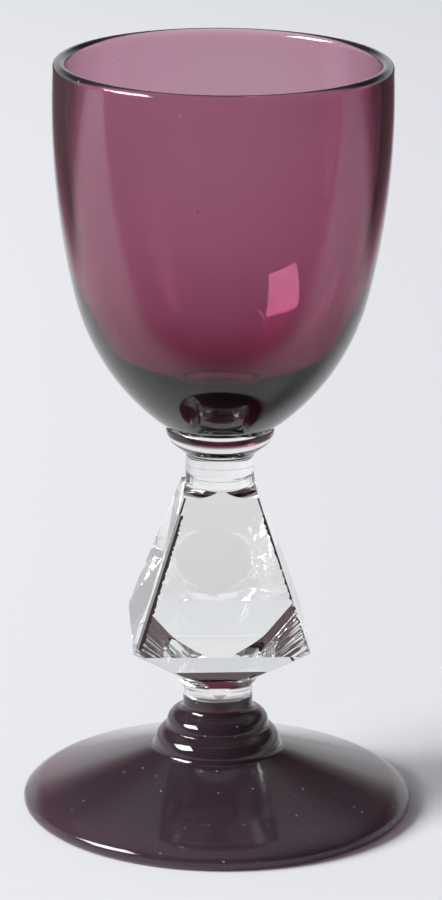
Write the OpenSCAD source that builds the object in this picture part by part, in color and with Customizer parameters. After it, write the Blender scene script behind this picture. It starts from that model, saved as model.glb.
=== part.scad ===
// Cordial glass: a footed glass of four pieces, joined while hot.
// A blown amethyst bowl sits on a clear collar, the collar on a clear four-sided stem,
// and the stem on an amethyst foot with two stepped rings.
// Units are millimetres. The origin is at the centre of the resting face, and +Z is up.

/* [Foot] */
// Diameter of the foot over its rounded edge
foot_d = 48.6; // [42:0.2:56]
// Thickness of the foot's rounded edge
foot_edge_t = 2; // [1.4:0.1:2.6]
// Radius of the curve that runs from the edge up on to the top of the foot
foot_brow_r = 5; // [3:0.5:7]
// Slope of the top of the foot, in degrees
foot_slope = 18.5; // [15:0.5:20]
// Depth of the hollow under the foot
foot_hollow = 1; // [0.4:0.1:1.6]
// Width of the flat ring that the foot rests on
foot_land_w = 1.6; // [1:0.1:3]
// Diameter of the upper ring
ring_up_d = 12.7; // [11.6:0.1:13.6]
// Height of the widest part of the upper ring above that of the lower ring
ring_up_rise = 2.6; // [2.3:0.1:3.2]
// Radius of the rounded side of the upper ring
ring_up_r = 1.6; // [1.3:0.1:1.9]
// Diameter of the lower ring
ring_low_d = 15.7; // [15:0.1:17]
// Height of the widest part of the lower ring above the slope of the foot beside it
ring_low_rise = 0.63; // [0.3:0.01:1]
// Radius of the rounded side of the lower ring
ring_low_r = 2.1; // [1.8:0.1:2.3]
// Radius of the hollow curve between the neck and the upper ring
ring_neck_fillet = 0.9; // [0.5:0.1:1.1]
// Radius of the valley between the two rings
ring_valley_fillet = 0.35; // [0.2:0.05:0.6]
// Radius of the hollow curve from the lower ring on to the foot
ring_foot_fillet = 0.9; // [0.5:0.1:1.4]
// Length of the straight neck band above the rings
neck_band_h = 1.3; // [0.8:0.1:2.5]

/* [Stem] */
// Height of the stem piece
stem_h = 28.65; // [24:0.05:34]
// Diameter of the lower neck, where the stem meets the foot
neck_low_d = 8.7; // [8:0.1:9.6]
// Diameter of the upper neck, where the stem meets the collar
neck_up_d = 8.5; // [7.6:0.1:8.9]
// Length of the upper neck above the shoulder of the knop
neck_up_h = 1.95; // [1.6:0.05:4]
// Radius of the curve from the upper neck on to the shoulder
shoulder_fillet = 1.2; // [0.8:0.1:1.3]
// Step from the upper neck out to the flats of the knop at its shoulder
knop_top_step = 0.32; // [0.1:0.02:0.6]
// Width across the flats of the knop at its lower edge
knop_w = 21.8; // [20:0.2:24]
// Length of the straight lower neck under the knop
neck_low_h = 0.175; // [0.1:0.025:1.2]
// Diameter of the turned body that rounds the lower corners of the knop
knop_corner_d = 29.8; // [28:0.2:30.4]
// Radius of that rounding
knop_corner_r = 1.6; // [1:0.1:2.4]
// Rise of the widest part of the corners above the lower edge of the facets
knop_corner_rise = 1.05; // [0.9:0.05:1.6]
// Rise of the facets under the knop, in degrees
under_slope = 37; // [34:0.5:40]
// Radius of the curve that carries those facets down into the neck
under_fillet = 5.5; // [4:0.1:6.4]
// Rise of the turned underside, in degrees
turned_slope = 30.5; // [28:0.5:32]
// Radius of the curve from the lower neck on to the turned underside
turned_fillet = 3.5; // [2.6:0.1:3.8]
// Depth that is taken off the sharp edges between the flats
arris_cut = 0.16; // [0.05:0.01:0.4]
// Turn of the knop about the stem, in degrees
knop_turn = 3; // [0:1:45]

/* [Collar] */
// Height of the collar piece, with its short length of neck
collar_h = 6.4; // [5.6:0.1:9]
// Diameter of the collar
collar_d = 13.4; // [12.6:0.1:14.6]
// Radius of the collar's upper edge
collar_top_r = 0.6; // [0.3:0.1:0.9]
// Radius of the collar's outer edge below its widest part
collar_side_r = 1.9; // [1.4:0.1:2.2]
// Slope of the underside of the collar, in degrees
collar_slope = 45; // [40:1:50]
// Radius of the curve from the underside of the collar on to the neck
collar_fillet = 1.2; // [0.6:0.1:1.6]
// Depth of the fine groove at the joint of the neck
seam_groove = 0.12; // [0.05:0.01:0.2]

/* [Bowl] */
// Height of the bowl from its base to the lip
bowl_h = 45.3; // [42:0.1:52]
// Widest diameter of the bowl
bowl_d = 41.4; // [38:0.2:46]
// Height of the widest part above the base of the bowl
bowl_wide_h = 39.8; // [36:0.1:41]
// Radius of the long curve of the upper wall
bowl_wall_r = 101; // [80:1:140]
// Height above the base at which the upper wall turns into the belly
bowl_belly_h = 16.6; // [15:0.1:19]
// Reach of the base of the bowl beyond the collar
bowl_overhang = 0.3; // [0:0.05:0.8]
// Thickness of the wall, and of the rounded lip
wall_t = 1.6; // [1:0.1:2]
// Thickness of the glass at the bottom of the bowl
floor_t = 3.9; // [3:0.1:5]
// Extra thickness of the wall where it turns into the belly
wall_gain = 0.25; // [0:0.05:0.5]
// How much smaller the radius of the inner belly curve is than in a wall of even thickness
belly_gain = 1.2; // [0:0.1:4]

/* [Hidden] */
amethyst = [0.42, 0.17, 0.31, 0.85];
clear_glass = [0.86, 0.88, 0.88, 0.6];
$fn = 96;
// Largest turn between two points of a curve, in degrees
step_a = 4;
// Overrun of the shapes that trim the knop
over = 1;

// Points of an arc about c, from angle a to angle b
function arc(c, r, a, b) =
    let (n = max(2, ceil(abs(b - a) / step_a)))
    [for (i = [0 : n]) let (t = a + (b - a) * i / n) [c[0] + r * cos(t), c[1] + r * sin(t)]];

// Direction from one point to another, in degrees
function heading(from, to) = atan2(to[1] - from[1], to[0] - from[0]);

// Points of an arc about c that starts towards p and takes the short way round to end towards q
function arc_past(c, r, p, q) =
    let (a = heading(c, p), b = heading(c, q))
    arc(c, r, a, b - 360 * round((b - a) / 360));

// Centre of a hollow fillet of radius f that rests against circles p (radius a) and q (radius b),
// on the side away from the axis
function valley_centre(p, a, q, b, f) =
    let (d = norm(q - p), u = (q - p) / d)
    let (s = (d * d + pow(a + f, 2) - pow(b + f, 2)) / (2 * d))
    let (h = sqrt(pow(a + f, 2) - s * s))
    p + u * s + [u[1], -u[0]] * h;

// Foot: centres of its rounded forms, as [radius, height]
edge_r = foot_edge_t / 2;
edge_c = [foot_d / 2 - edge_r, edge_r];
brow_a = 45;
brow_c = edge_c - (foot_brow_r - edge_r) * [cos(brow_a), sin(brow_a)];
slope_top = brow_c + foot_brow_r * [sin(foot_slope), cos(foot_slope)];
// The lower ring stands on the slope, and the upper ring on the lower one
slope_beside_ring = slope_top[1] + (slope_top[0] - ring_low_d / 2) * tan(foot_slope);
ring_low_c = [ring_low_d / 2 - ring_low_r, slope_beside_ring + ring_low_rise];
ring_up_c = [ring_up_d / 2 - ring_up_r, ring_low_c[1] + ring_up_rise];
neck_low_r = neck_low_d / 2;
// The hollow curve under the neck touches the neck and the upper ring
neck_curve_x = neck_low_r + ring_neck_fillet;
neck_curve_rise = sqrt(pow(ring_up_r + ring_neck_fillet, 2) - pow(neck_curve_x - ring_up_c[0], 2));
neck_curve_c = [neck_curve_x, ring_up_c[1] + neck_curve_rise];
foot_h = neck_curve_c[1] + neck_band_h;
valley_c = valley_centre(ring_low_c, ring_low_r, ring_up_c, ring_up_r, ring_valley_fillet);
// The hollow curve at the foot touches the lower ring and the sloping top
slope_n = [sin(foot_slope), cos(foot_slope)];
slope_gap = (slope_top - ring_low_c) * slope_n + ring_foot_fillet;
slope_run = sqrt(pow(ring_low_r + ring_foot_fillet, 2) - slope_gap * slope_gap);
foot_curve_c = ring_low_c + slope_n * slope_gap + [cos(foot_slope), -sin(foot_slope)] * slope_run;
land_r = edge_c[0] - foot_land_w;
hollow_r = (land_r * land_r + foot_hollow * foot_hollow) / (2 * foot_hollow);
hollow_a = asin(land_r / hollow_r);

module foot_outline() {
    polygon(concat(
        arc([0, foot_hollow - hollow_r], hollow_r, 90, 90 - hollow_a),
        arc(edge_c, edge_r, -90, brow_a),
        arc(brow_c, foot_brow_r, brow_a, 90 - foot_slope),
        arc_past(foot_curve_c, ring_foot_fillet, foot_curve_c - slope_n, ring_low_c),
        arc_past(ring_low_c, ring_low_r, foot_curve_c, valley_c),
        arc_past(valley_c, ring_valley_fillet, ring_low_c, ring_up_c),
        arc_past(ring_up_c, ring_up_r, valley_c, neck_curve_c),
        arc_past(neck_curve_c, ring_neck_fillet, ring_up_c, [0, neck_curve_c[1]]),
        [[neck_low_r, foot_h], [0, foot_h]]
    ));
}

module foot() {
    color(amethyst) rotate_extrude() foot_outline();
}

// Where each piece starts, from the table up
stem_z = foot_h;
collar_z = stem_z + stem_h;
bowl_z = collar_z + collar_h;

// Stem, measured from the bottom of its own piece
neck_up_r = neck_up_d / 2;
shoulder_h = stem_h - neck_up_h;
// The turned underside rises from the fillet at the neck out to the rounding of the corners
turned_c = [neck_low_r + turned_fillet, neck_low_h];
turned_foot_h = neck_low_h + turned_fillet * tan((90 - turned_slope) / 2);
corner_x = knop_corner_d / 2 - knop_corner_r;
turned_end_x = corner_x + knop_corner_r * sin(turned_slope);
turned_end_h = turned_foot_h + (turned_end_x - neck_low_r) * tan(turned_slope);
corner_c = [corner_x, turned_end_h + knop_corner_r * cos(turned_slope)];
knop_edge_h = corner_c[1] - knop_corner_rise;

module turned_body() {
    rotate_extrude() polygon(concat(
        [[0, 0], [neck_low_r, 0]],
        arc(turned_c, turned_fillet, 180, 90 + turned_slope),
        arc(corner_c, knop_corner_r, turned_slope - 90, 0),
        [[corner_c[0] + knop_corner_r, shoulder_h]],
        arc([neck_up_r + shoulder_fillet, shoulder_h + shoulder_fillet], shoulder_fillet, 270, 180),
        [[neck_up_r, stem_h - seam_groove], [neck_up_r - seam_groove, stem_h], [0, stem_h]]
    ));
}

// Half widths across the flats of the knop, from the neck up to above the shoulder
flat_w = knop_w / 2;
flat_top_w = neck_up_r + knop_top_step;
under_foot_h = knop_edge_h - (flat_w - neck_low_r) * tan(under_slope);
under_tan = under_fillet * tan((90 - under_slope) / 2);
under_c = [neck_low_r + under_fillet, under_foot_h - under_tan];

module flats_outline() {
    side = concat(
        [[neck_low_r, min(0, under_c[1]) - over]],
        arc(under_c, under_fillet, 180, 90 + under_slope),
        [[flat_w, knop_edge_h], [flat_top_w, shoulder_h]]
    );
    top = [[neck_up_r + over, shoulder_h + over], [neck_up_r + over, stem_h + over]];
    half = concat(side, top);
    polygon(concat(half, [for (i = [len(half) - 1 : -1 : 0]) [-half[i][0], half[i][1]]]));
}

// The sharp edges stand at the corners of the square between the flats
arris_w = flat_w * sqrt(2) - arris_cut;
arris_top_w = flat_top_w * sqrt(2) - arris_cut;

module arris_outline() {
    half = [[arris_w, -over], [arris_w, knop_edge_h], [arris_top_w, shoulder_h], [arris_top_w, stem_h + over]];
    polygon(concat(half, [for (i = [len(half) - 1 : -1 : 0]) [-half[i][0], half[i][1]]]));
}

module trim(turn) {
    rotate([0, 0, turn]) rotate([90, 0, 0])
        linear_extrude(height = knop_corner_d + over, center = true) children();
}

module stem() {
    color(clear_glass) translate([0, 0, stem_z]) rotate([0, 0, knop_turn]) intersection() {
        turned_body();
        trim(0) flats_outline();
        trim(90) flats_outline();
        trim(45) arris_outline();
        trim(135) arris_outline();
    }
}

// Collar, measured from the bottom of its own piece
collar_side_c = [collar_d / 2 - collar_side_r, collar_h - collar_top_r];
collar_top_c = [collar_d / 2 - collar_top_r, collar_h - collar_top_r];
collar_side_end = collar_side_c + collar_side_r * [cos(collar_slope), -sin(collar_slope)];
collar_foot_h = collar_side_end[1] - (collar_side_end[0] - neck_up_r) * tan(90 - collar_slope);
collar_tan = collar_fillet * tan(collar_slope / 2);
collar_curve_c = [neck_up_r + collar_fillet, collar_foot_h - collar_tan];

module collar() {
    color(clear_glass) translate([0, 0, collar_z]) rotate_extrude() polygon(concat(
        [[0, 0], [neck_up_r - seam_groove, 0], [neck_up_r, seam_groove]],
        arc(collar_curve_c, collar_fillet, 180, 180 - collar_slope),
        arc(collar_side_c, collar_side_r, -collar_slope, 0),
        arc(collar_top_c, collar_top_r, 0, 90),
        [[0, collar_h]]
    ));
}

// Bowl, measured from its base: a long wall curve that runs into a rounder belly curve
wall_c = [bowl_d / 2 - bowl_wall_r, bowl_wide_h];
belly_a = asin((bowl_wide_h - bowl_belly_h) / bowl_wall_r);
belly_n = [cos(belly_a), -sin(belly_a)];
belly_top = wall_c + bowl_wall_r * belly_n;
base_edge = [collar_d / 2 + bowl_overhang, 0];
// The belly curve starts along the wall curve and ends at the edge of the base
belly_span = base_edge - belly_top;
belly_r = -(belly_span * belly_span) / (2 * (belly_span * belly_n));
belly_c = belly_top - belly_r * belly_n;
// Inside, the wall thickens a little towards the belly, and the curves touch in the same way
inner_shift = wall_gain / (1 - cos(belly_a));
inner_wall_r = bowl_wall_r - wall_t - inner_shift;
inner_wall_c = wall_c + [inner_shift, 0];
inner_belly_r = belly_r - wall_t - belly_gain;
inner_c = inner_wall_c + (inner_wall_r - inner_belly_r) * belly_n;
// The bottom is a round cup that touches the inner belly curve
cup_drop = inner_c[1] - floor_t;
cup_r = (pow(inner_belly_r, 2) - pow(inner_c[0], 2) - pow(cup_drop, 2)) / (2 * (inner_belly_r - cup_drop));
cup_c = [0, floor_t + cup_r];
cup_a = heading(inner_c, cup_c);
// The lip is a half round between the outer and the inner wall
lip_z = bowl_h - wall_t / 2;
lip_out_a = asin((lip_z - bowl_wide_h) / bowl_wall_r);
lip_in_a = asin((lip_z - bowl_wide_h) / inner_wall_r);
lip_out_x = wall_c[0] + bowl_wall_r * cos(lip_out_a);
lip_in_x = inner_wall_c[0] + inner_wall_r * cos(lip_in_a);
// Fine steps keep the long, shallow wall curve smooth
wall_steps = 12;

function wall_arc(c, r, a, b) =
    [for (i = [0 : wall_steps]) let (t = a + (b - a) * i / wall_steps) c + r * [cos(t), sin(t)]];

module bowl() {
    color(amethyst) translate([0, 0, bowl_z]) rotate_extrude() polygon(concat(
        [[0, 0]],
        arc(belly_c, belly_r, heading(belly_c, base_edge), -belly_a),
        wall_arc(wall_c, bowl_wall_r, -belly_a, lip_out_a),
        arc([(lip_out_x + lip_in_x) / 2, lip_z], (lip_out_x - lip_in_x) / 2, 0, 180),
        wall_arc(inner_wall_c, inner_wall_r, lip_in_a, -belly_a),
        arc(inner_c, inner_belly_r, -belly_a, cup_a),
        arc(cup_c, cup_r, cup_a, -90)
    ));
}

foot();
stem();
collar();
bowl();
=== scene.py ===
from math import asin, atan2, cos, hypot, pi, radians, sin, sqrt, tan

import bpy
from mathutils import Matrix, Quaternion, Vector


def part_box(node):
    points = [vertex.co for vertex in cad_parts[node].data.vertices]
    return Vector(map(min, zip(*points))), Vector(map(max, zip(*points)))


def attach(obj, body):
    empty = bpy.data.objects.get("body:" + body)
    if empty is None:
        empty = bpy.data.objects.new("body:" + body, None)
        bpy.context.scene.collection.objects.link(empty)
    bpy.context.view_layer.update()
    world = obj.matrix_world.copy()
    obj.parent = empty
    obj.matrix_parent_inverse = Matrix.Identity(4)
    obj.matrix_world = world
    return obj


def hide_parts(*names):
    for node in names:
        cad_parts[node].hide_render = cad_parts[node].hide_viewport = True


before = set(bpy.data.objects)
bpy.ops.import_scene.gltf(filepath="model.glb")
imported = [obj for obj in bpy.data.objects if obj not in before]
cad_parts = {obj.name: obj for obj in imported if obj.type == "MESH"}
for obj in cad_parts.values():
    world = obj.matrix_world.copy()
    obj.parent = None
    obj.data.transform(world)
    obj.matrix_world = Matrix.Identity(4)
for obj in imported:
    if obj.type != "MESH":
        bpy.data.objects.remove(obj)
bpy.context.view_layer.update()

MM = 0.001

# Heights of the joints between the pieces and of the lip, from the frame
FOOT_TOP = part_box("foot")[1][2]
STEM_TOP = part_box("stem")[1][2]
COLLAR_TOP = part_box("collar")[1][2]
LIP_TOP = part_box("bowl")[1][2]
# The pieces are fused: this is the width of the seam between two meshes
SEAM = 0.01 * MM

# Foot
FOOT_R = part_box("foot")[1][0]
FOOT_EDGE_R = 1.0 * MM
FOOT_BROW_R = 5.0 * MM
FOOT_BROW_A = radians(45)
FOOT_SLOPE = radians(18.5)
FOOT_HOLLOW = 1.0 * MM
FOOT_LAND_W = 1.6 * MM
RING_UP_R = 6.35 * MM
RING_UP_SIDE_R = 1.6 * MM
RING_LOW_R = 7.85 * MM
RING_LOW_SIDE_R = 2.1 * MM
RING_LOW_RISE = 0.63 * MM
RING_UP_RISE = 2.6 * MM
RING_NECK_FILLET = 0.9 * MM
RING_VALLEY_FILLET = 0.35 * MM
RING_FOOT_FILLET = 0.9 * MM

# Stem
NECK_LOW_R = 4.35 * MM
NECK_UP_R = 4.25 * MM
NECK_LOW_H = 0.175 * MM
NECK_UP_H = 1.95 * MM
SHOULDER_FILLET = 1.2 * MM
KNOP_TOP_STEP = 0.32 * MM
KNOP_HALF_W = 10.9 * MM
KNOP_CORNER_R = 14.9 * MM
KNOP_CORNER_ROUND = 1.6 * MM
KNOP_CORNER_RISE = 1.05 * MM
UNDER_SLOPE = radians(40)
UNDER_LOW_SLOPE = radians(52)
UNDER_BEND_R = 6 * MM
UNDER_START = 0.8 * MM
UNDER_FILLET = 2.5 * MM
TURNED_SLOPE = radians(30.5)
TURNED_FILLET = 3.5 * MM
KNOP_TURN = radians(3)
ARRIS_CUT = 0.16 * MM

# Collar
COLLAR_R = 6.7 * MM
COLLAR_TOP_R = 0.6 * MM
COLLAR_REACH = COLLAR_R - COLLAR_TOP_R
COLLAR_SIDE_R = 2.4 * MM
COLLAR_SLOPE = radians(52)
COLLAR_FILLET = 0.9 * MM
SEAM_GROOVE = 0.03 * MM

# Bowl
BOWL_R = 20.7 * MM
BOWL_WIDE_H = 39.8 * MM
BOWL_WALL_R = 101 * MM
BOWL_BELLY_H = 16.6 * MM
BOWL_OVERHANG = 0.3 * MM
WALL_T = 1.6 * MM
FLOOR_T = 3.9 * MM
WALL_GAIN = 0.25 * MM
BELLY_GAIN = 1.2 * MM

# How finely a curve and a turned body are divided
CURVE_STEP = radians(3)
TURN_STEPS = 160
# Long, shallow curves have more divisions than their small angle would give
HOLLOW_STEPS = 12
WALL_STEPS = 20
# Points of a mesh that lie closer than this become one
MERGE = 0.0005 * MM
MIRROR_MERGE = 0.001 * MM
# Edges sharper than this stay sharp
TURNED_SMOOTH = radians(40)
FACET_SMOOTH = radians(12)
# How far a cutting block reaches past what it cuts
OVERRUN = 1 * MM


def clear_selection():
    """Leaves object mode ready, with nothing selected."""
    if bpy.context.object and bpy.context.object.mode != "OBJECT":
        bpy.ops.object.mode_set(mode="OBJECT")
    bpy.ops.object.select_all(action="DESELECT")


def start_outline(name, x, z):
    """A single point in edit mode, from which an outline is drawn in the XZ plane."""
    clear_selection()
    bpy.ops.mesh.primitive_plane_add(size=MM, location=(x, 0, z))
    piece = bpy.context.object
    piece.name = piece.data.name = name
    bpy.ops.object.transform_apply(location=True)
    bpy.ops.object.mode_set(mode="EDIT")
    bpy.ops.mesh.merge(type="CENTER")
    return piece


def line_to(here, x, z):
    """Extrudes the free end of the outline to a point."""
    bpy.ops.mesh.extrude_region_move(
        TRANSFORM_OT_translate={"value": (x - here[0], 0, z - here[1])})
    return (x, z)


def arc_to(here, centre, angle, steps=None):
    """Spins the free end of the outline about a centre by a signed angle, from +X towards +Z."""
    steps = steps or max(2, round(abs(angle) / CURVE_STEP))
    bpy.ops.mesh.spin(
        steps=steps, angle=angle, center=(centre[0], 0, centre[1]), axis=(0, 1, 0))
    dx, dz = here[0] - centre[0], here[1] - centre[1]
    return (centre[0] + dx * cos(angle) - dz * sin(angle),
            centre[1] + dx * sin(angle) + dz * cos(angle))


def heading(a, b):
    """Direction from one point of the outline to another."""
    return atan2(b[1] - a[1], b[0] - a[0])


def turned_angle(centre, here, target):
    """The short way round a centre, from one point to the direction of another."""
    turn = heading(centre, target) - heading(centre, here)
    return (turn + pi) % (2 * pi) - pi


def valley_centre(p, a, q, b, f):
    """Centre of a hollow fillet of radius f that rests against circles p (radius a) and q (radius b)."""
    d = hypot(q[0] - p[0], q[1] - p[1])
    ux, uz = (q[0] - p[0]) / d, (q[1] - p[1]) / d
    s = (d * d + (a + f) ** 2 - (b + f) ** 2) / (2 * d)
    h = sqrt((a + f) ** 2 - s * s)
    return (p[0] + ux * s + uz * h, p[1] + uz * s - ux * h)


def turn_body():
    """Spins the drawn outline about the axis and closes it."""
    bpy.ops.mesh.select_all(action="SELECT")
    bpy.ops.mesh.spin(steps=TURN_STEPS, angle=2 * pi, center=(0, 0, 0), axis=(0, 0, 1))
    bpy.ops.mesh.select_all(action="SELECT")
    bpy.ops.mesh.remove_doubles(threshold=MERGE)
    bpy.ops.mesh.normals_make_consistent(inside=False)
    bpy.ops.object.mode_set(mode="OBJECT")


def smooth(piece, angle):
    """Shades a piece smooth, except over edges sharper than the angle."""
    clear_selection()
    piece.select_set(True)
    bpy.context.view_layer.objects.active = piece
    bpy.ops.object.shade_smooth_by_angle(angle=angle)
    clear_selection()


def make_foot():
    """Hollow underside, resting ring, rounded edge, sloping top, two rings and a neck band."""
    edge = (FOOT_R - FOOT_EDGE_R, FOOT_EDGE_R)
    brow_reach = FOOT_BROW_R - FOOT_EDGE_R
    brow = (edge[0] - brow_reach * cos(FOOT_BROW_A), edge[1] - brow_reach * sin(FOOT_BROW_A))
    slope_out = (sin(FOOT_SLOPE), cos(FOOT_SLOPE))
    slope_top = (brow[0] + FOOT_BROW_R * slope_out[0], brow[1] + FOOT_BROW_R * slope_out[1])
    beside_ring = slope_top[1] + (slope_top[0] - RING_LOW_R) * tan(FOOT_SLOPE)
    low = (RING_LOW_R - RING_LOW_SIDE_R, beside_ring + RING_LOW_RISE)
    up = (RING_UP_R - RING_UP_SIDE_R, low[1] + RING_UP_RISE)
    gap = (slope_top[0] - low[0]) * slope_out[0] + (slope_top[1] - low[1]) * slope_out[1]
    gap += RING_FOOT_FILLET
    run = sqrt((RING_LOW_SIDE_R + RING_FOOT_FILLET) ** 2 - gap * gap)
    toe = (low[0] + slope_out[0] * gap + slope_out[1] * run,
           low[1] + slope_out[1] * gap - slope_out[0] * run)
    valley = valley_centre(low, RING_LOW_SIDE_R, up, RING_UP_SIDE_R, RING_VALLEY_FILLET)
    nape_x = NECK_LOW_R + RING_NECK_FILLET
    nape_rise = sqrt((RING_UP_SIDE_R + RING_NECK_FILLET) ** 2 - (nape_x - up[0]) ** 2)
    nape = (nape_x, up[1] + nape_rise)
    land = edge[0] - FOOT_LAND_W
    hollow_r = (land * land + FOOT_HOLLOW ** 2) / (2 * FOOT_HOLLOW)
    hollow = (0, FOOT_HOLLOW - hollow_r)
    top = FOOT_TOP - SEAM / 2

    piece = start_outline("amethyst_foot", 0, FOOT_HOLLOW)
    at = (0, FOOT_HOLLOW)
    at = arc_to(at, hollow, turned_angle(hollow, at, (land, 0)), HOLLOW_STEPS)
    at = line_to(at, edge[0], 0)
    at = arc_to(at, edge, pi / 2 + FOOT_BROW_A)
    at = arc_to(at, brow, pi / 2 - FOOT_SLOPE - FOOT_BROW_A)
    at = line_to(at, toe[0] - RING_FOOT_FILLET * slope_out[0], toe[1] - RING_FOOT_FILLET * slope_out[1])
    at = arc_to(at, toe, turned_angle(toe, at, low))
    at = arc_to(at, low, turned_angle(low, at, valley))
    at = arc_to(at, valley, turned_angle(valley, at, up))
    at = arc_to(at, up, turned_angle(up, at, nape))
    at = arc_to(at, nape, turned_angle(nape, at, (0, nape[1])))
    at = line_to(at, NECK_LOW_R, top)
    line_to(at, 0, top)
    turn_body()
    smooth(piece, TURNED_SMOOTH)
    return piece


# Places on the knop: its hollow neck, its round corner, its lower edge and its shoulder
KNOP_COVE = (NECK_LOW_R + TURNED_FILLET, FOOT_TOP + NECK_LOW_H)
KNOP_END_R = KNOP_CORNER_R - KNOP_CORNER_ROUND * (1 - sin(TURNED_SLOPE))
KNOP_END_Z = (KNOP_COVE[1] + TURNED_FILLET * tan((pi / 2 - TURNED_SLOPE) / 2)
              + (KNOP_END_R - NECK_LOW_R) * tan(TURNED_SLOPE))
KNOP_CORNER = (KNOP_CORNER_R - KNOP_CORNER_ROUND, KNOP_END_Z + KNOP_CORNER_ROUND * cos(TURNED_SLOPE))
KNOP_EDGE_Z = KNOP_CORNER[1] - KNOP_CORNER_RISE
SHOULDER_Z = STEM_TOP - NECK_UP_H
KNOP_TOP_HALF_W = NECK_UP_R + KNOP_TOP_STEP
ARRIS_LOW_R = KNOP_HALF_W * sqrt(2) - ARRIS_CUT
ARRIS_TOP_R = KNOP_TOP_HALF_W * sqrt(2) - ARRIS_CUT
# The blocks that cut the knop are a little longer than the stem at both ends
BLOCK_BOTTOM = FOOT_TOP - OVERRUN
BLOCK_TOP = STEM_TOP + OVERRUN


def make_turned_knop():
    """The body that the facets of the stem are cut from."""
    bottom, top = FOOT_TOP + SEAM / 2, STEM_TOP - SEAM / 2

    piece = start_outline("clear_stem", 0, bottom)
    at = line_to((0, bottom), NECK_LOW_R, bottom)
    at = line_to(at, NECK_LOW_R, KNOP_COVE[1])
    at = arc_to(at, KNOP_COVE, TURNED_SLOPE - pi / 2)
    at = line_to(at, KNOP_END_R, KNOP_END_Z)
    at = arc_to(at, KNOP_CORNER, pi / 2 - TURNED_SLOPE)
    at = line_to(at, KNOP_CORNER_R, SHOULDER_Z)
    at = line_to(at, NECK_UP_R + SHOULDER_FILLET, SHOULDER_Z)
    at = arc_to(at, (NECK_UP_R + SHOULDER_FILLET, SHOULDER_Z + SHOULDER_FILLET), -pi / 2)
    at = line_to(at, NECK_UP_R, top - SEAM_GROOVE)
    at = line_to(at, NECK_UP_R - SEAM_GROOVE, top)
    line_to(at, 0, top)
    turn_body()
    return piece


def make_flats(turn):
    """A block with two opposite flats of the knop, and the hollow-curved facets under them."""
    low, high = UNDER_LOW_SLOPE, UNDER_SLOPE
    start = (NECK_LOW_R + SEAM, FOOT_TOP + UNDER_START)
    width = (KNOP_HALF_W - start[0] - UNDER_FILLET * (1 - sin(low))
             - UNDER_BEND_R * (sin(low) - sin(high)))
    rise = (KNOP_EDGE_Z - start[1] - UNDER_FILLET * cos(low)
            - UNDER_BEND_R * (cos(high) - cos(low)))
    low_run = (rise * cos(high) - width * sin(high)) / sin(low - high)
    lean = (SHOULDER_Z - KNOP_EDGE_Z) / (KNOP_HALF_W - KNOP_TOP_HALF_W)
    arch_z = SHOULDER_Z + KNOP_TOP_STEP * lean

    block = start_outline("cutter", 0, BLOCK_BOTTOM)
    at = line_to((0, BLOCK_BOTTOM), start[0], BLOCK_BOTTOM)
    at = line_to(at, start[0], start[1])
    at = arc_to(at, (start[0] + UNDER_FILLET, start[1]), low - pi / 2)
    at = line_to(at, at[0] + low_run * cos(low), at[1] + low_run * sin(low))
    bend = (at[0] + UNDER_BEND_R * sin(low), at[1] - UNDER_BEND_R * cos(low))
    at = arc_to(at, bend, high - low)
    at = line_to(at, KNOP_HALF_W, KNOP_EDGE_Z)
    at = line_to(at, NECK_UP_R, arch_z)
    at = line_to(at, NECK_UP_R + OVERRUN, arch_z + OVERRUN)
    at = line_to(at, NECK_UP_R + OVERRUN, BLOCK_TOP)
    line_to(at, 0, BLOCK_TOP)
    finish_block(block, turn)
    return block


def make_arris(turn):
    """A square block that takes off two opposite sharp edges between the flats."""
    block = start_outline("cutter", 0, BLOCK_BOTTOM)
    at = line_to((0, BLOCK_BOTTOM), ARRIS_LOW_R, BLOCK_BOTTOM)
    at = line_to(at, ARRIS_LOW_R, KNOP_EDGE_Z)
    at = line_to(at, ARRIS_TOP_R, SHOULDER_Z)
    at = line_to(at, ARRIS_TOP_R, BLOCK_TOP)
    line_to(at, 0, BLOCK_TOP)
    finish_block(block, turn)
    return block


def finish_block(block, turn):
    """Gives half an outline its length, mirrors it, closes its ends and turns it about the axis."""
    reach = KNOP_CORNER_R + OVERRUN
    bpy.ops.mesh.select_all(action="SELECT")
    bpy.ops.mesh.extrude_region_move(TRANSFORM_OT_translate={"value": (0, 2 * reach, 0)})
    bpy.ops.mesh.select_all(action="SELECT")
    bpy.ops.transform.translate(value=(0, -reach, 0))
    bpy.ops.object.mode_set(mode="OBJECT")
    mirror = block.modifiers.new("other_side", "MIRROR")
    mirror.use_axis = (True, False, False)
    mirror.merge_threshold = MIRROR_MERGE
    bpy.ops.object.modifier_apply(modifier=mirror.name)
    bpy.ops.object.mode_set(mode="EDIT")
    bpy.ops.mesh.select_all(action="SELECT")
    bpy.ops.mesh.remove_doubles(threshold=MERGE)
    bpy.ops.mesh.select_all(action="DESELECT")
    bpy.ops.mesh.select_non_manifold(extend=False, use_boundary=True)
    bpy.ops.mesh.edge_face_add()
    bpy.ops.mesh.select_all(action="SELECT")
    bpy.ops.mesh.normals_make_consistent(inside=False)
    bpy.ops.transform.rotate(value=-turn, orient_axis="Z", center_override=(0, 0, 0))
    bpy.ops.object.mode_set(mode="OBJECT")


def make_stem():
    """Neck, four-sided knop cut from a turned body, and neck again."""
    piece = make_turned_knop()
    cuts = [(make_flats, KNOP_TURN), (make_flats, KNOP_TURN + pi / 2),
            (make_arris, KNOP_TURN + pi / 4), (make_arris, KNOP_TURN + 3 * pi / 4)]
    for make_block, turn in cuts:
        block = make_block(turn)
        clear_selection()
        piece.select_set(True)
        bpy.context.view_layer.objects.active = piece
        cut = piece.modifiers.new("facets", "BOOLEAN")
        cut.operation = "INTERSECT"
        cut.solver = "EXACT"
        cut.object = block
        bpy.ops.object.modifier_apply(modifier=cut.name)
        bpy.data.objects.remove(block)
    smooth(piece, FACET_SMOOTH)
    return piece


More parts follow.
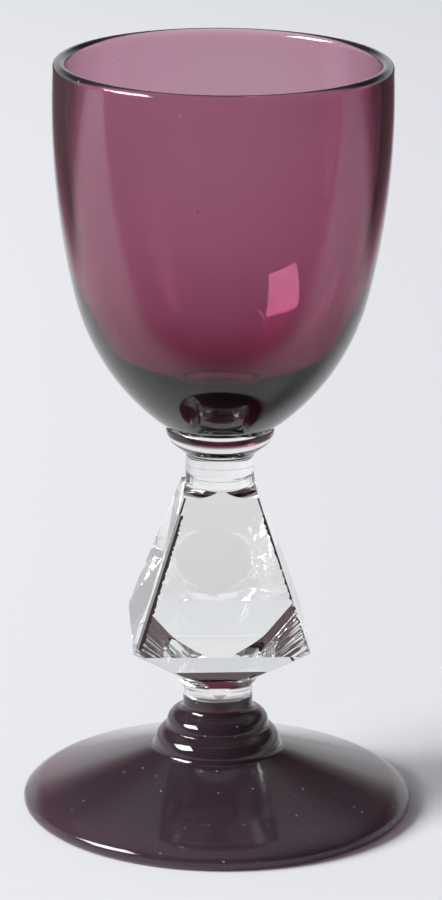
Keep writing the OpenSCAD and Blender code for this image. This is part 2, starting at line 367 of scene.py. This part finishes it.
def make_collar():
    """A clear wafer with a short length of neck below it."""
    bottom, top = STEM_TOP + SEAM / 2, COLLAR_TOP - SEAM / 2
    side = (COLLAR_R - COLLAR_SIDE_R, COLLAR_TOP - COLLAR_TOP_R)
    rim = (COLLAR_REACH, top - COLLAR_TOP_R)
    side_end = (side[0] + COLLAR_SIDE_R * cos(COLLAR_SLOPE), side[1] - COLLAR_SIDE_R * sin(COLLAR_SLOPE))
    foot_z = side_end[1] - (side_end[0] - NECK_UP_R) * tan(pi / 2 - COLLAR_SLOPE)
    cove = (NECK_UP_R + COLLAR_FILLET, foot_z - COLLAR_FILLET * tan(COLLAR_SLOPE / 2))

    piece = start_outline("clear_collar", 0, bottom)
    at = line_to((0, bottom), NECK_UP_R - SEAM_GROOVE, bottom)
    at = line_to(at, NECK_UP_R, bottom + SEAM_GROOVE)
    at = line_to(at, NECK_UP_R, cove[1])
    at = arc_to(at, cove, -COLLAR_SLOPE)
    at = line_to(at, side_end[0], side_end[1])
    at = arc_to(at, side, COLLAR_SLOPE)
    at = line_to(at, COLLAR_R, rim[1])
    at = arc_to(at, rim, pi / 2)
    line_to(at, 0, top)
    turn_body()
    smooth(piece, TURNED_SMOOTH)
    return piece


def make_bowl():
    """Thick bottom, belly, long upper wall and a fire-polished lip, drawn as one outline."""
    base = COLLAR_TOP + SEAM / 2
    wall = (BOWL_R - BOWL_WALL_R, COLLAR_TOP + BOWL_WIDE_H)
    belly_a = asin((BOWL_WIDE_H - BOWL_BELLY_H) / BOWL_WALL_R)
    out = (cos(belly_a), -sin(belly_a))
    belly_top = (wall[0] + BOWL_WALL_R * out[0], wall[1] + BOWL_WALL_R * out[1])
    base_edge = (COLLAR_R + BOWL_OVERHANG, base)
    span = (base_edge[0] - belly_top[0], base_edge[1] - belly_top[1])
    belly_r = -(span[0] ** 2 + span[1] ** 2) / (2 * (span[0] * out[0] + span[1] * out[1]))
    belly = (belly_top[0] - belly_r * out[0], belly_top[1] - belly_r * out[1])
    shift = WALL_GAIN / (1 - cos(belly_a))
    inner_wall_r = BOWL_WALL_R - WALL_T - shift
    inner_wall = (wall[0] + shift, wall[1])
    inner_r = belly_r - WALL_T - BELLY_GAIN
    inner = (inner_wall[0] + (inner_wall_r - inner_r) * out[0],
             inner_wall[1] + (inner_wall_r - inner_r) * out[1])
    drop = inner[1] - COLLAR_TOP - FLOOR_T
    cup_r = (inner_r ** 2 - inner[0] ** 2 - drop ** 2) / (2 * (inner_r - drop))
    cup = (0, COLLAR_TOP + FLOOR_T + cup_r)
    lip_z = LIP_TOP - WALL_T / 2
    lip_out = (wall[0] + BOWL_WALL_R * cos(asin((lip_z - wall[1]) / BOWL_WALL_R)), lip_z)
    lip_in = (inner_wall[0] + inner_wall_r * cos(asin((lip_z - wall[1]) / inner_wall_r)), lip_z)
    lip = ((lip_out[0] + lip_in[0]) / 2, lip_z)

    piece = start_outline("amethyst_bowl", 0, base)
    at = line_to((0, base), base_edge[0], base)
    at = arc_to(at, belly, turned_angle(belly, at, belly_top))
    at = arc_to(at, wall, turned_angle(wall, at, lip_out), WALL_STEPS)
    at = arc_to(at, lip, pi)
    at = arc_to(at, inner_wall, turned_angle(inner_wall, at, inner), WALL_STEPS)
    at = arc_to(at, inner, turned_angle(inner, at, cup))
    arc_to(at, cup, turned_angle(cup, at, (0, base)))
    turn_body()
    smooth(piece, TURNED_SMOOTH)
    return piece


# How much each glass bends light: the clear one is taken for a lead glass
AMETHYST_IOR = 1.51
CLEAR_IOR = 1.57
# The same at a joint: light goes straight on, or bends as from clear glass to amethyst
FUSED = 1.0
CLEAR_ON_AMETHYST = CLEAR_IOR / AMETHYST_IOR

# The colour that each glass takes up in its depth, and how soon
AMETHYST = (0.708, 0.368, 0.53)
AMETHYST_DENSITY = 1000
CLEAR = (0.94, 0.96, 0.95)
CLEAR_DENSITY = 30

# Gentle waves from fire polishing
WAVE_LENGTH = 9 * MM
WAVE_HEIGHT = 0.006 * MM

# Soft noise goes from 0 to 1 about this value
NOISE_MIDDLE = 0.5


def maths(nodes, links, operation, first, second=None, third=None):
    """A maths node for one to three numbers or sockets."""
    node = nodes.new("ShaderNodeMath")
    node.operation = operation
    for socket, value in zip(node.inputs, (first, second, third)):
        if value is None:
            continue
        if isinstance(value, (int, float)):
            socket.default_value = value
        else:
            links.new(value, socket)
    return node.outputs[0]


def mix_colours(nodes, links, factor, first, second):
    """A blend of two colours or sockets."""
    node = nodes.new("ShaderNodeMix")
    node.data_type = "RGBA"
    for socket, value in zip((node.inputs[0], node.inputs[6], node.inputs[7]), (factor, first, second)):
        if isinstance(value, tuple):
            socket.default_value = (*value, 1)
        elif isinstance(value, (int, float)):
            socket.default_value = value
        else:
            links.new(value, socket)
    return node.outputs[2]


def radius_of(nodes, links, place):
    """How far a point is from the axis."""
    flat = nodes.new("ShaderNodeVectorMath")
    flat.operation = "MULTIPLY"
    flat.inputs[1].default_value = (1, 1, 0)
    links.new(place, flat.inputs[0])
    radius = nodes.new("ShaderNodeVectorMath")
    radius.operation = "LENGTH"
    links.new(flat.outputs["Vector"], radius.inputs[0])
    return radius.outputs["Value"]


def split_place(nodes, links, place):
    """The three coordinates of a place."""
    split = nodes.new("ShaderNodeSeparateXYZ")
    links.new(place, split.inputs[0])
    return split.outputs["X"], split.outputs["Y"], split.outputs["Z"]


def fade(nodes, links, value, start, end):
    """A soft step from 0 to 1 between two values."""
    node = nodes.new("ShaderNodeMapRange")
    node.interpolation_type = "SMOOTHSTEP"
    node.inputs["From Min"].default_value = start
    node.inputs["From Max"].default_value = end
    links.new(value, node.inputs["Value"])
    return node.outputs["Result"]


def noise(nodes, links, place, length, detail=1.0):
    """Soft noise from 0 to 1, with its wave length."""
    node = nodes.new("ShaderNodeTexNoise")
    node.inputs["Scale"].default_value = 1 / length
    node.inputs["Detail"].default_value = detail
    links.new(place, node.inputs["Vector"])
    return node.outputs["Fac"]


def uneven(nodes, links, height, depth, normal=None):
    """A bump of a given depth, on top of an earlier one."""
    bump = nodes.new("ShaderNodeBump")
    bump.inputs["Distance"].default_value = depth
    links.new(height, bump.inputs["Height"])
    if normal:
        links.new(normal, bump.inputs["Normal"])
    return bump.outputs["Normal"]


def specks(nodes, links, place, spacing, size):
    """Scattered specks: 1 on a speck and 0 elsewhere."""
    cells = nodes.new("ShaderNodeTexVoronoi")
    cells.inputs["Scale"].default_value = 1 / spacing
    links.new(place, cells.inputs["Vector"])
    return maths(nodes, links, "LESS_THAN", cells.outputs["Distance"], size / spacing)


def joint_ior(nodes, links, place, ior, joints):
    """On the fused faces of a piece the IOR is that of one glass against the next."""
    z_here = split_place(nodes, links, place)[2]
    radius = radius_of(nodes, links, place)
    result = ior
    for z, reach, ratio in joints:
        near = maths(nodes, links, "COMPARE", z_here, z, SEAM)
        inside = maths(nodes, links, "LESS_THAN", radius, reach)
        both = maths(nodes, links, "MULTIPLY", near, inside)
        change = maths(nodes, links, "SUBTRACT", ratio, result)
        result = maths(nodes, links, "MULTIPLY_ADD", both, change, result)
    return result


def glass(name, ior, tint, density, joints):
    """Smooth glass that takes up colour in its depth, with gentle waves from fire polishing."""
    mat = bpy.data.materials.new(name)
    mat.use_nodes = True
    nodes, links = mat.node_tree.nodes, mat.node_tree.links
    shader = nodes["Principled BSDF"]
    shader.inputs["Base Color"].default_value = (1, 1, 1, 1)
    shader.inputs["Roughness"].default_value = 0.0
    shader.inputs["Transmission Weight"].default_value = 1.0
    place = nodes.new("ShaderNodeTexCoord").outputs["Object"]
    links.new(joint_ior(nodes, links, place, ior, joints), shader.inputs["IOR"])
    depth = nodes.new("ShaderNodeVolumeAbsorption")
    depth.inputs["Color"].default_value = (*tint, 1)
    depth.inputs["Density"].default_value = density
    links.new(depth.outputs[0], nodes["Material Output"].inputs["Volume"])
    waves = noise(nodes, links, place, WAVE_LENGTH)
    links.new(uneven(nodes, links, waves, WAVE_HEIGHT), shader.inputs["Normal"])
    return mat, place


# The faint haze of fine scratches on the amethyst glass, and the dust that lies on it
FOOT_HAZE = 0.027
HAZE_AT_EDGE = 0.014
BOWL_HAZE = 0.008
FOOT_TINTS = ((0.88, 0.5, 0.72), (0.79, 0.45, 0.65))
BOWL_TINTS = ((1.0, 0.99, 1.0), (1.0, 0.97, 0.985))
HAZE_LENGTH = 14 * MM
HAZE_DETAIL = 2.0
DUST_TINT = (0.9, 0.87, 0.86)
DUST_VEIL = 0.3
FOOT_DUST_SPACING = 1.6 * MM
BOWL_DUST_SPACING = 4 * MM
DUST_SIZE = 0.11 * MM
SLOPE_ROUGH = 0.1


def tint_haze(nodes, links, place, tints, dust):
    """The colour of the haze, cloudy between two tints, with the colour of dust on its specks."""
    clouds = noise(nodes, links, place, HAZE_LENGTH, HAZE_DETAIL)
    tint = mix_colours(nodes, links, clouds, *tints)
    shader = nodes["Principled BSDF"]
    links.new(mix_colours(nodes, links, dust, tint, DUST_TINT), shader.inputs["Base Color"])


def veil(nodes, links, haze, dust):
    """Lets through less light where there is haze or dust."""
    veiled = maths(nodes, links, "MULTIPLY_ADD", dust, DUST_VEIL, haze)
    clear_share = maths(nodes, links, "SUBTRACT", 1, veiled)
    links.new(clear_share, nodes["Principled BSDF"].inputs["Transmission Weight"])


def foot_glass():
    """Amethyst glass, hazed by use where the foot slopes, with specks of dust."""
    mat, place = glass("amethyst_foot_glass", AMETHYST_IOR, AMETHYST, AMETHYST_DENSITY,
                       [(FOOT_TOP, NECK_LOW_R, FUSED)])
    nodes, links = mat.node_tree.nodes, mat.node_tree.links
    shader = nodes["Principled BSDF"]
    dust = specks(nodes, links, place, FOOT_DUST_SPACING, DUST_SIZE)
    tint_haze(nodes, links, place, FOOT_TINTS, dust)
    outward = fade(nodes, links, radius_of(nodes, links, place), FOOT_R / 2, FOOT_R)
    veil(nodes, links, maths(nodes, links, "MULTIPLY_ADD", outward, HAZE_AT_EDGE, FOOT_HAZE), dust)
    slope = fade(nodes, links, radius_of(nodes, links, place), RING_LOW_R, RING_LOW_R + RING_LOW_SIDE_R)
    upper = fade(nodes, links, split_place(nodes, links, place)[2], FOOT_EDGE_R, 2 * FOOT_EDGE_R)
    rough = maths(nodes, links, "MULTIPLY", slope, upper)
    links.new(maths(nodes, links, "MULTIPLY", rough, SLOPE_ROUGH), shader.inputs["Roughness"])
    return mat


def bowl_glass():
    """Amethyst glass with a little haze and a few specks of dust."""
    mat, place = glass("amethyst_bowl_glass", AMETHYST_IOR, AMETHYST, AMETHYST_DENSITY,
                       [(COLLAR_TOP, COLLAR_REACH, FUSED)])
    nodes, links = mat.node_tree.nodes, mat.node_tree.links
    dust = specks(nodes, links, place, BOWL_DUST_SPACING, DUST_SIZE)
    tint_haze(nodes, links, place, BOWL_TINTS, dust)
    veil(nodes, links, BOWL_HAZE, dust)
    return mat


def collar_glass():
    """Clear glass, joined to the stem below and the bowl above."""
    joints = [(STEM_TOP, NECK_UP_R, FUSED), (COLLAR_TOP, COLLAR_REACH, FUSED)]
    return glass("clear_collar_glass", CLEAR_IOR, CLEAR, CLEAR_DENSITY, joints)[0]


# Nicks on the front edges of the knop, which leave its lower and upper ends whole. On the nicks the
# front edges also get painted shade: a dark colour that lets little light through.
NICK_LENGTH = 0.5 * MM
NICK_DETAIL = 3.0
NICK_DEPTH = 0.6 * MM
NICK_LOW_END = 1 * MM
NICK_TOP_END = 2 * MM
# What the nicks are short of at the axis, and how this grows towards the right
NICK_SPARED = 0.14 * MM
NICK_SPARED_GROWTH = 0.02
ARRIS_ROUGH = 0.5
# Painted shade on the nicked front edges: its dark colour, and how much of the light through them it
# stops
ARRIS_PAINTED_SHADE = (0.03, 0.02, 0.02)
ARRIS_SHADE_OPACITY = 0.95

# Streaks from grinding under the side facets of the knop
STREAK_TURN = 0.16
STREAK_RUN = 8 * MM
STREAK_DETAIL = 2.0
STREAK_DEPTH = 0.3 * MM
STREAK_FADE = 1 * MM
SIDE_FADE = 1.5 * MM


def nick_and_shade_edges(nodes, links, place, turned_place):
    """Dull, nicked edges between the front flats of the knop, with painted shade on them: dark, and
    letting little light through.
    """
    x, y, z = turned_place
    across = maths(nodes, links, "ADD", maths(nodes, links, "ABSOLUTE", x),
                   maths(nodes, links, "ABSOLUTE", y))
    reach = maths(nodes, links, "MULTIPLY", across, 1 / sqrt(2))
    lean = (ARRIS_TOP_R - ARRIS_LOW_R) / (SHOULDER_Z - KNOP_EDGE_Z)
    arris = maths(nodes, links, "MULTIPLY_ADD", z, lean, ARRIS_LOW_R - lean * KNOP_EDGE_Z)
    inward = maths(nodes, links, "SUBTRACT", arris, reach)
    nicks = noise(nodes, links, place, NICK_LENGTH, NICK_DETAIL)
    wear_and_shade_reach = maths(nodes, links, "MULTIPLY", nicks, NICK_DEPTH)
    spared = maths(nodes, links, "MULTIPLY_ADD", x, NICK_SPARED_GROWTH, NICK_SPARED)
    worn_and_shaded = maths(nodes, links, "LESS_THAN", inward, maths(nodes, links, "SUBTRACT", wear_and_shade_reach, spared))
    above = maths(nodes, links, "GREATER_THAN", z, KNOP_EDGE_Z + NICK_LOW_END)
    below = maths(nodes, links, "LESS_THAN", z, SHOULDER_Z - NICK_TOP_END)
    # The painted shade lies only on the edges at the front, the side that the camera faces
    front = maths(nodes, links, "LESS_THAN", y, 0)
    nicks_and_shade = maths(nodes, links, "MULTIPLY", maths(nodes, links, "MULTIPLY", above, below), worn_and_shaded)
    nicks_and_shade = maths(nodes, links, "MULTIPLY", nicks_and_shade, front)
    # The dark colour and the light held back are painted shade; the roughness is the wear of the nicks
    clear_share = maths(nodes, links, "MULTIPLY_ADD", nicks_and_shade, -ARRIS_SHADE_OPACITY, 1)
    shader = nodes["Principled BSDF"]
    links.new(maths(nodes, links, "MULTIPLY", nicks_and_shade, ARRIS_ROUGH), shader.inputs["Roughness"])
    links.new(mix_colours(nodes, links, nicks_and_shade, (1, 1, 1), ARRIS_PAINTED_SHADE), shader.inputs["Base Color"])
    links.new(clear_share, shader.inputs["Transmission Weight"])


def streak_underside(nodes, links, place, turned_place):
    """Streaks that run down to the neck, under the facets at the left and right."""
    x, y, z = turned_place
    turn = maths(nodes, links, "ARCTAN2", y, x)
    way = nodes.new("ShaderNodeCombineXYZ")
    links.new(maths(nodes, links, "MULTIPLY", turn, STREAK_RUN / STREAK_TURN), way.inputs[0])
    links.new(radius_of(nodes, links, place), way.inputs[1])
    grain = noise(nodes, links, way.outputs[0], STREAK_RUN, STREAK_DETAIL)
    streaks = maths(nodes, links, "SUBTRACT", grain, NOISE_MIDDLE)
    lower = fade(nodes, links, z, KNOP_EDGE_Z, KNOP_EDGE_Z - STREAK_FADE)
    sideways = maths(nodes, links, "SUBTRACT", maths(nodes, links, "ABSOLUTE", x),
                     maths(nodes, links, "ABSOLUTE", y))
    outer = fade(nodes, links, sideways, 0.0, SIDE_FADE)
    ground = maths(nodes, links, "MULTIPLY", maths(nodes, links, "MULTIPLY", lower, outer), streaks)
    normal_in = nodes["Principled BSDF"].inputs["Normal"]
    normal = normal_in.links[0].from_socket
    links.new(uneven(nodes, links, ground, STREAK_DEPTH, normal), normal_in)


def stem_glass():
    """Clear glass with nicked edges, painted dark as shade at the front, and ground streaks on the knop.
    """
    mat, place = glass("clear_stem_glass", CLEAR_IOR, CLEAR, CLEAR_DENSITY,
                       [(FOOT_TOP, NECK_LOW_R, CLEAR_ON_AMETHYST), (STEM_TOP, NECK_UP_R, FUSED)])
    nodes, links = mat.node_tree.nodes, mat.node_tree.links
    turned = nodes.new("ShaderNodeVectorRotate")
    turned.rotation_type = "Z_AXIS"
    turned.inputs["Angle"].default_value = -KNOP_TURN
    links.new(place, turned.inputs["Vector"])
    turned_place = split_place(nodes, links, turned.outputs["Vector"])
    nick_and_shade_edges(nodes, links, place, turned_place)
    streak_underside(nodes, links, place, turned_place)
    return mat


def dress(piece, mat, node):
    """Gives a piece its glass, hangs it from the root and hides the solid that it stands for."""
    piece.data.materials.clear()
    piece.data.materials.append(mat)
    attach(piece, "root")
    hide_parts(node)


# Camera, fitted to the ellipses of the rim and the foot: its lens and sensor are in millimetres
LENS = 184.56
SENSOR_W = 36
CAMERA_PLACE = (0.1 * MM, -544.7 * MM, 208.7 * MM)
CAMERA_DOWN = 0.29
CAMERA_ROLL = -0.0088
CAMERA_TURN = 0.0026
CAMERA_NEAR = 0.01
CAMERA_FAR = 20


def make_camera():
    """The view of the photograph."""
    camera = bpy.data.objects.new("camera", bpy.data.cameras.new("camera"))
    bpy.context.collection.objects.link(camera)
    camera.data.lens = LENS
    camera.data.sensor_width = SENSOR_W
    camera.location = CAMERA_PLACE
    camera.rotation_euler = (pi / 2 - CAMERA_DOWN, CAMERA_ROLL, CAMERA_TURN)
    camera.data.clip_start = CAMERA_NEAR
    camera.data.clip_end = CAMERA_FAR
    bpy.context.scene.camera = camera


# Floor, in metres: where the paper is painted dark as shade in what the glass sees, where it is given a
# painted glow far away, and what the camera sees of it
FLOOR_SIZE = 6
PAPER = (0.71, 0.71, 0.72)
# Painted shade: the dark colour of the paper as the glass sees it, in front and at the far corners
PAPER_PAINTED_SHADE = (0.12, 0.1, 0.105)
PAPER_ROUGH = 0.9
PAPER_HALF_W = 0.09
PAPER_EDGE = 0.07
PAPER_FRONT = 0.03
PAPER_FAR = 0.5
BACKDROP_NEAR = (0.635, 0.64, 0.665)
BACKDROP_FAR = (0.73, 0.735, 0.76)
# Painted light: the colour of the glow of the far paper as seen through the glass
PAINTED_HORIZON_GLOW = (0.53, 0.535, 0.56)


def make_floor():
    """Pale paper. What is seen by way of the glass is painted dark as shade in front and at the far
    corners, and far away it is given a painted glow.
    """
    clear_selection()
    bpy.ops.mesh.primitive_plane_add(size=FLOOR_SIZE, location=(0, 0, 0))
    floor = bpy.context.object
    floor.name = "floor"
    mat = bpy.data.materials.new("pale_floor")
    mat.use_nodes = True
    nodes, links = mat.node_tree.nodes, mat.node_tree.links
    shader = nodes["Principled BSDF"]
    place = nodes.new("ShaderNodeTexCoord").outputs["Object"]
    x, y = split_place(nodes, links, place)[:2]
    away = maths(nodes, links, "ABSOLUTE", x)
    beside = fade(nodes, links, away, PAPER_HALF_W, PAPER_HALF_W + PAPER_EDGE)
    back = fade(nodes, links, y, PAPER_HALF_W, PAPER_HALF_W + PAPER_EDGE)
    corners = maths(nodes, links, "MULTIPLY", beside, back)
    front = maths(nodes, links, "SUBTRACT", 0, y)
    before = fade(nodes, links, front, PAPER_FRONT, 2 * PAPER_FRONT)
    painted_shade_share = maths(nodes, links, "MAXIMUM", corners, before)
    path = nodes.new("ShaderNodeLightPath")
    far = fade(nodes, links, y, -PAPER_HALF_W, PAPER_FAR)
    backdrop = mix_colours(nodes, links, far, BACKDROP_NEAR, BACKDROP_FAR)
    # Painted shade: in front and at the far corners the paper is dark only as the glass sees it; the
    # camera sees it pale
    by_way_of_glass = mix_colours(nodes, links, painted_shade_share, PAPER, PAPER_PAINTED_SHADE)
    colour = mix_colours(nodes, links, path.outputs["Is Camera Ray"], by_way_of_glass, backdrop)
    links.new(colour, shader.inputs["Base Color"])
    # Painted light: far away the paper glows as seen through the glass
    painted_glow_share = fade(nodes, links, y, PAPER_FAR, 2 * PAPER_FAR)
    glow = maths(nodes, links, "MULTIPLY", painted_glow_share, path.outputs["Is Transmission Ray"])
    links.new(glow, shader.inputs["Emission Strength"])
    shader.inputs["Emission Color"].default_value = (*PAINTED_HORIZON_GLOW, 1)
    shader.inputs["Roughness"].default_value = PAPER_ROUGH
    shader.inputs["Specular IOR Level"].default_value = 0.0
    floor.data.materials.append(mat)


LAMP_PLACE = (-1.74, -0.56, 1.07)
LAMP_SIDE = 1.15
LAMP_TILT = radians(25)
LAMP_POWER = 100


def make_lamp():
    """A square lamp to the left, hung with a corner towards the glass."""
    data = bpy.data.lights.new("softbox", "AREA")
    data.shape = "SQUARE"
    data.size = LAMP_SIDE
    data.energy = LAMP_POWER
    lamp = bpy.data.objects.new("softbox", data)
    bpy.context.collection.objects.link(lamp)
    lamp.location = LAMP_PLACE
    bearing = atan2(-LAMP_PLACE[1], -LAMP_PLACE[0])
    turn = Quaternion((0, 0, 1), bearing)
    lean = Quaternion((0, 1, 0), -LAMP_TILT)
    corner = Quaternion((0, 0, 1), pi / 4)
    lamp.rotation_mode = "QUATERNION"
    lamp.rotation_quaternion = turn @ lean @ corner


# What the glass sees round about it, from level (0) to overhead (1)
BEHIND = [(0.0, (0.84, 0.85, 0.88)), (0.26, (0.82, 0.83, 0.86)), (0.36, (0.35, 0.33, 0.35)),
          (0.46, (0.11, 0.085, 0.09)), (0.62, (0.14, 0.12, 0.13)), (0.75, (0.42, 0.41, 0.43)),
          (1.0, (0.5, 0.49, 0.51))]
IN_FRONT = [(0.0, (0.3, 0.27, 0.28)), (0.15, (0.12, 0.085, 0.09)), (0.84, (0.1, 0.065, 0.075)),
            (0.93, (0.42, 0.41, 0.43)), (1.0, (0.5, 0.49, 0.51))]
# The two blend over directions whose Y lies within this of 0
WALL_BLEND = 0.3
FILL = (0.28, 0.285, 0.3)
# A new stop of a ramp starts here, before it gets its own place
NEW_STOP = 0.5


def ramp_node(nodes, links, source, stops):
    """A coloured ramp over a number, with its stops as (place, colour)."""
    ramp = nodes.new("ShaderNodeValToRGB")
    links.new(source, ramp.inputs["Fac"])
    elements = ramp.color_ramp.elements
    while len(elements) < len(stops):
        elements.new(NEW_STOP)
    for element, (place, colour) in zip(elements, stops):
        element.position = place
        element.color = (*colour, 1)
    return ramp.outputs["Color"]


def make_world():
    """A pale backdrop behind the glass and a darker room elsewhere; soft fill for the floor."""
    world = bpy.data.worlds.new("room")
    bpy.context.scene.world = world
    world.use_nodes = True
    nodes, links = world.node_tree.nodes, world.node_tree.links
    way = nodes.new("ShaderNodeTexCoord").outputs["Generated"]
    y, z = split_place(nodes, links, way)[1:]
    behind = fade(nodes, links, y, -WALL_BLEND, WALL_BLEND)
    back_wall = ramp_node(nodes, links, z, BEHIND)
    front_wall = ramp_node(nodes, links, z, IN_FRONT)
    room = mix_colours(nodes, links, behind, front_wall, back_wall)
    path = nodes.new("ShaderNodeLightPath")
    light = mix_colours(nodes, links, path.outputs["Is Diffuse Ray"], room, FILL)
    links.new(light, nodes["Background"].inputs["Color"])


# How often light may cross or be thrown back by the glass
GLASS_BOUNCES = 32
OTHER_BOUNCES = 16

make_camera()
make_floor()
make_lamp()
make_world()

scene = bpy.context.scene
scene.view_settings.view_transform = "Standard"
scene.cycles.max_bounces = GLASS_BOUNCES
scene.cycles.transmission_bounces = GLASS_BOUNCES
scene.cycles.glossy_bounces = OTHER_BOUNCES
scene.cycles.transparent_max_bounces = OTHER_BOUNCES

dress(make_foot(), foot_glass(), "foot")
dress(make_stem(), stem_glass(), "stem")
dress(make_collar(), collar_glass(), "collar")
dress(make_bowl(), bowl_glass(), "bowl")
